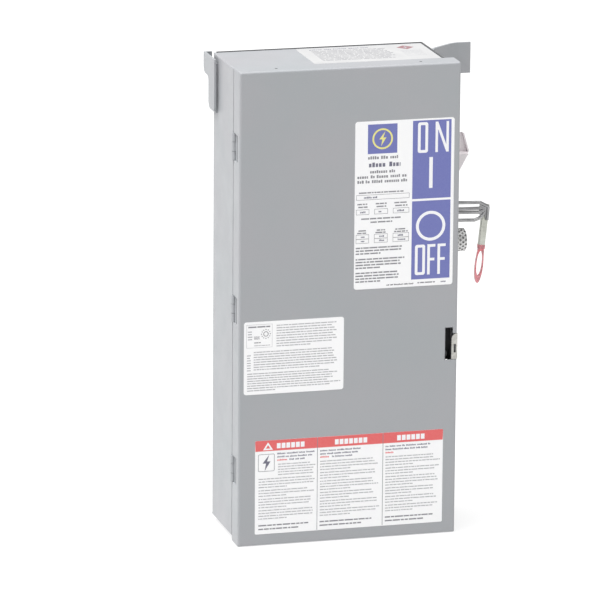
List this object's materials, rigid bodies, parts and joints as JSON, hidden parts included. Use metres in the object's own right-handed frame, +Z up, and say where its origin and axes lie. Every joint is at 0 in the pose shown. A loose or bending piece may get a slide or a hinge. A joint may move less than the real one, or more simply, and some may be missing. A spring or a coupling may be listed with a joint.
{
  "type": "fusible busway plug-on disconnect switch",
  "caption": "Grey sheet-metal fused disconnect switch with a hinged door, side handle with a red eye, busway hook and ear, and plug-on jaws at the back.",
  "frame": {"origin": "centre of the flat back of the case, where it lies against the busway", "axes": "+X to the right seen from the front, +Y to the rear, out of the seating face, +Z up"},
  "size_m": [0.3209, 0.1483, 0.56],
  "materials": {
    "paint": "smooth semi-gloss baked enamel, light cool grey",
    "zinc": "zinc plated, slightly dull",
    "dark_rod": "dark phosphated steel, oiled",
    "red_vinyl": "dipped vinyl, semi-gloss",
    "label_stock": "white polyester label stock, satin",
    "moulding": "glass-filled thermoset moulding, matt black",
    "arc_frame": "vulcanised fibre side plates, tan",
    "arc_steel": "zinc dichromate plated mild steel plate",
    "barrier": "sheet fibre, matt dark grey",
    "copper": "bare copper, lightly tarnished",
    "tinned": "tin plated copper, satin",
    "fuse_tube": "glass melamine tube, cream",
    "brass": "brass ferrules, satin",
    "aluminium": "tin plated extruded aluminium, satin"
  },
  "bodies": {
    "case": {"arc_chute_1": "arc_frame", "arc_chute_2": "arc_frame", "arc_chute_3": "arc_frame", "arc_plates": "arc_steel", "base_screws": "zinc", "bottom_end_plate": "paint", "bracket_rivets": "paint", "case_wrapper": "paint", "crossbar_bearing": "zinc", "ear_bracket": "paint", "end_plate_screws": "zinc", "fuse_base": "moulding", "fuse_body_1": "fuse_tube", "fuse_body_2": "fuse_tube", "fuse_body_3": "fuse_tube", "fuse_caps": "brass", "ground_bar": "aluminium", "ground_jaw": "tinned", "ground_screws": "zinc", "hinge_case_knuckles": "paint", "hinge_pins": "zinc", "hook_bracket": "paint", "jaw_housing": "moulding", "knob_bushing": "zinc", "knockout_discs": "paint", "latch_strike": "dark_rod", "line_contact_1": "copper", "line_contact_2": "copper", "line_contact_3": "copper", "line_jaw_1": "tinned", "line_jaw_2": "tinned", "line_jaw_3": "tinned", "load_contacts": "copper", "load_lugs": "aluminium", "lower_fuse_clips": "copper", "lug_screws": "zinc", "mechanism_frame": "zinc", "on_stop_bracket": "zinc", "phase_barriers": "barrier", "shaft_bushing": "zinc", "switch_base": "moulding", "top_end_plate": "paint", "top_label": "label_stock", "upper_fuse_clips": "copper"},
    "door": {"door_pan": "paint", "hinge_door_leaves": "paint", "latch_guide": "zinc", "latch_spring": "zinc", "rating_label": "label_stock", "notice_label": "label_stock", "safety_label": "label_stock"},
    "latch": {"latch_slide": "zinc"},
    "handle": {"handle_shaft": "dark_rod", "handle_hub": "zinc", "handle_yoke": "dark_rod", "handle_lever": "zinc", "lever_grip": "red_vinyl"},
    "blade_bar": {"crossbar": "moulding", "switch_blades": "copper"},
    "release_knob": {"release_knob": "zinc"}
  },
  "joints": [
    {"name": "door_hinge", "type": "hinge", "parent": "case", "child": "door", "pos_m": [-0.1238, -0.0934, 0], "axis": [0, 0, -1], "range_deg": [0, 110]},
    {"name": "latch_slide", "type": "slide", "parent": "door", "child": "latch", "axis": [-1, 0, 0], "range_m": [0, 0.003], "stiffness_N_per_m": 300, "springref_m": -0.004, "deforming": ["latch_spring"]},
    {"name": "handle_swing", "type": "hinge", "parent": "case", "child": "handle", "pos_m": [0.1248, -0.0606, 0.09], "axis": [-1, 0, 0], "range_deg": [0, 150]},
    {"name": "blade_swing", "type": "hinge", "parent": "case", "child": "blade_bar", "pos_m": [0, -0.04, 0.07], "axis": [-1, 0, 0], "range_deg": [0, 50]},
    {"name": "knob_turn", "type": "hinge", "parent": "case", "child": "release_knob", "pos_m": [0.1248, -0.0606, 0.056], "axis": [-1, 0, 0], "range_deg": [0, 90]}
  ],
  "couplings": [
    {"joint": "blade_swing", "follows": "handle_swing", "ratio": 0.33333}
  ]
}
